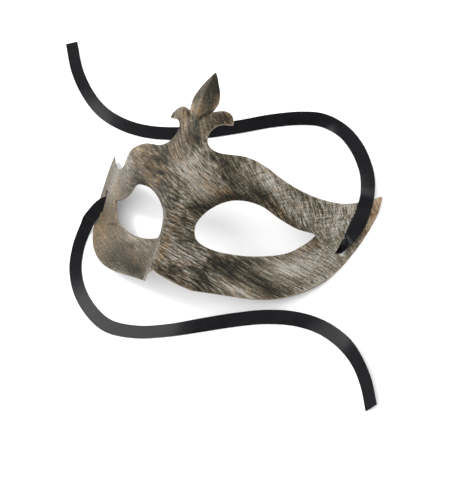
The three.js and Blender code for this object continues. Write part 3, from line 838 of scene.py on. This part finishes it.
def potentialOf(fieldX, fieldV):  # the height map whose slope comes closest to a field
    wide = np.block([[fieldX, -fieldX[:, ::-1]], [fieldX[::-1], -fieldX[::-1, ::-1]]])
    high = np.block([[fieldV, fieldV[:, ::-1]], [-fieldV[::-1], -fieldV[::-1, ::-1]]])
    waveV, waveX = np.meshgrid(*[2 * math.pi * np.fft.fftfreq(n) for n in wide.shape], indexing="ij")
    square = waveX**2 + waveV**2
    square[0, 0] = 1
    slope = 1j * (waveX * np.fft.fft2(wide) + waveV * np.fft.fft2(high))
    return np.real(np.fft.ifft2(-slope / square))[:fieldX.shape[0], :fieldX.shape[1]]


def strokeCoordinates(x, v):  # how far along and how far across the strokes a place lies, in millimetres
    side, low = brushField["side"], brushField["low"]
    gridX, gridV = np.meshgrid(np.arange(-side, side + 1.0), np.arange(-low, brushField["high"] + 1.0))
    total, weight = 0.0, 1e-12
    for atX, atV, turn in strokeDirections:
        near = np.exp(-np.hypot(gridX - atX, gridV - atV) / brushField["reach"])
        total, weight = total + near * turn, weight + near
    turn = np.radians(total / weight)
    found = []
    for dirX, dirV in ((np.cos(turn), np.sin(turn)), (-np.sin(turn), np.cos(turn))):
        gain = np.ones_like(turn)
        for _ in range(brushField["passes"]):
            height = potentialOf(gain * dirX, gain * dirV)
            slopeV, slopeX = np.gradient(height)
            gain = np.clip(slopeX * dirX + slopeV * dirV, brushField["gainFrom"], brushField["gainTo"])
        column, row = x + side, v + low
        c, r = np.floor(column).astype(int), np.floor(row).astype(int)
        fc, fr = column - c, row - r
        found.append((height[r, c] * (1 - fc) + height[r, c + 1] * fc) * (1 - fr)
                     + (height[r + 1, c] * (1 - fc) + height[r + 1, c + 1] * fc) * fr)
    return found


crestRelief = {
    "grooves": [  # x and v of both ends, half width, depth
        ((-3.4, 50.6), (-7.2, 52.3), 0.55, 0.55), ((-7.2, 52.3), (-10.6, 53.4), 0.5, 0.45),
        ((2.2, 50.4), (7.4, 54.2), 0.6, 0.6), ((-2.4, 50.2), (-3.4, 55.5), 0.4, 0.25),
        ((2.0, 50.4), (3.0, 55.0), 0.4, 0.25), ((0.1, 46.5), (-0.4, 50.2), 0.5, 0.25),
        ((3.0, 56), (2.2, 66), 0.5, 0.2), ((-3.0, 56), (-2.2, 66), 0.5, 0.2),
        ((17.5, 50.2), (15.8, 54.6), 0.5, 0.3), ((19.2, 50.0), (18.2, 53.6), 0.4, 0.22),
        ((-17.5, 50.2), (-15.8, 54.6), 0.5, 0.2),
    ],
    "rises": [  # x, v, reach along, reach across, direction, height
        (-13, 52.2, 6, 2.6, -160, 0.7), (13, 52.2, 6, 2.6, -20, 0.7), (0, 60, 12, 0.9, 90, 0.35),
    ],
}


def segmentBell(x, v, start, end, reach):
    stepX, stepV = end[0] - start[0], end[1] - start[1]
    t = np.clip(((x - start[0]) * stepX + (v - start[1]) * stepV) / (stepX**2 + stepV**2), 0, 1)
    return bell(np.hypot(x - start[0] - t * stepX, v - start[1] - t * stepV) / reach)


def crestHeight(x, v):  # the carved lines and rounded petals of the crest
    height = laidOn(crestRelief["rises"], x, v)
    for start, end, reach, depth in crestRelief["grooves"]:
        height = height - depth * segmentBell(x, v, start, end, reach)
    return height


def addMap(mesh, name, first, second):  # a UV map from two values of each vertex
    corners = np.zeros(len(mesh.loops), int)
    mesh.loops.foreach_get("vertex_index", corners)
    pairs = np.stack([first, second], -1)[corners]
    mesh.uv_layers.new(name=name).data.foreach_set("uv", pairs.ravel())


def addMask(mesh, name, values):
    mesh.attributes.new(name, "FLOAT", "POINT").data.foreach_set("value", values.astype(np.float32))


def markRimEdges(mesh):  # the long edges where a skin meets the rim get rounded, the front ones more
    shape = bmesh.new()
    shape.from_mesh(mesh)
    weight = shape.edges.layers.float.new("bevel_weight_edge")
    for edge in shape.edges:
        kinds = {face.material_index for face in edge.link_faces}
        if kinds == {0, 2}:
            edge[weight] = 1.0
        if kinds == {1, 2}:
            edge[weight] = maskBuild["backShare"]
    shape.to_mesh(mesh)
    shape.free()


def buildMask():
    loops = outlineLoops()
    mask = flatSkin(loops)
    mesh = mask.data
    co = np.zeros(len(mesh.vertices) * 3)
    mesh.vertices.foreach_get("co", co)
    x, v = co.reshape(-1, 3)[:, 0].copy(), co.reshape(-1, 3)[:, 1].copy()
    along, across = strokeCoordinates(x, v)
    addMap(mesh, "strokes", along / 100, across / 100)
    addMap(mesh, "face", x / 100, v / 100)
    # tone spots: real light and dark paint mixed with painted highlights and painted shade in creases and
    # grooves
    addMask(mesh, "toneAndPaintedLight", laidOn(toneAndPaintedLightSpots, x, v))
    addMask(mesh, "copperTone", laidOn(copperSpots, x, v))
    addMask(mesh, "calmPaint", np.clip(laidOn(calmSpots, x, v), -0.6, 1))
    addMask(mesh, "crossPaint", np.clip(laidOn(crossSpots, x, v), 0, 1))
    addMask(mesh, "rimNear", np.exp(-edgeDistance(np.stack([x, v], -1), loops) / maskBuild["rimFade"]))
    mesh.vertices.foreach_set("co", (placeOnFace(x, v, crestHeight(x, v)) * mm).ravel())
    if mesh.polygons[0].normal.z < 0:
        mesh.flip_normals()
    for material in maskMaterials():
        mesh.materials.append(material)
    wall = mask.modifiers.new("wall", "SOLIDIFY")
    wall.thickness = faceShape["wall"] * mm
    wall.offset = -1
    wall.material_offset = 1
    wall.material_offset_rim = 2
    applyModifiers(mask)
    markRimEdges(mask.data)
    rounding = mask.modifiers.new("rounding", "BEVEL")
    rounding.width = maskBuild["rounding"] * mm
    rounding.segments = maskBuild["roundingSteps"]
    rounding.limit_method = "WEIGHT"
    rounding.use_clamp_overlap = False
    applyModifiers(mask)
    makeActive(mask)
    bpy.ops.object.mode_set(mode="EDIT")
    bpy.ops.mesh.select_all(action="SELECT")
    bpy.ops.mesh.bisect(plane_co=(0, 0, 0), plane_no=(0, 0, 1), use_fill=True, clear_inner=True)
    bpy.ops.object.mode_set(mode="OBJECT")
    makeActive(mask)
    bpy.ops.object.shade_smooth_by_angle(angle=math.radians(maskBuild["crease"]))
    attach(mask, "root")
    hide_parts("mask_shell")
    print("mask made,", len(mask.data.polygons), "faces")
    return mask


maskShell = buildMask()
for ribbon in ribbons:
    ribbon.data.materials.append(satinMaterial())

# floor and light
studioRoom = {"floorSize": 6, "glow": 1.45}
bpy.ops.mesh.primitive_plane_add(size=studioRoom["floorSize"], location=(0, 0, 0))
floor = bpy.context.object
floor.name = "paleFloor"
floor.data.materials.append(floorMaterial())

studioLights = {
    "keyLight": {"place": (-1.08, 0.24, 1.18), "size": 0.55, "power": 15},
    "fillLight": {"place": (0.9, -0.4, 1.6), "size": 1.6, "power": 8},
}
for name, light in studioLights.items():
    aim = (-Vector(light["place"])).to_track_quat("-Z", "Y").to_euler()
    bpy.ops.object.light_add(type="AREA", location=light["place"], rotation=aim)
    lamp = bpy.context.object
    lamp.name = name
    lamp.data.size = light["size"]
    lamp.data.energy = light["power"]

world = bpy.data.worlds.new("softRoom")
bpy.context.scene.world = world
world.use_nodes = True
background = world.node_tree.nodes["Background"]
background.inputs["Color"].default_value = (1, 1, 1, 1)
background.inputs["Strength"].default_value = studioRoom["glow"]
bpy.context.scene.view_settings.view_transform = "Standard"
print("floor and lights ready")
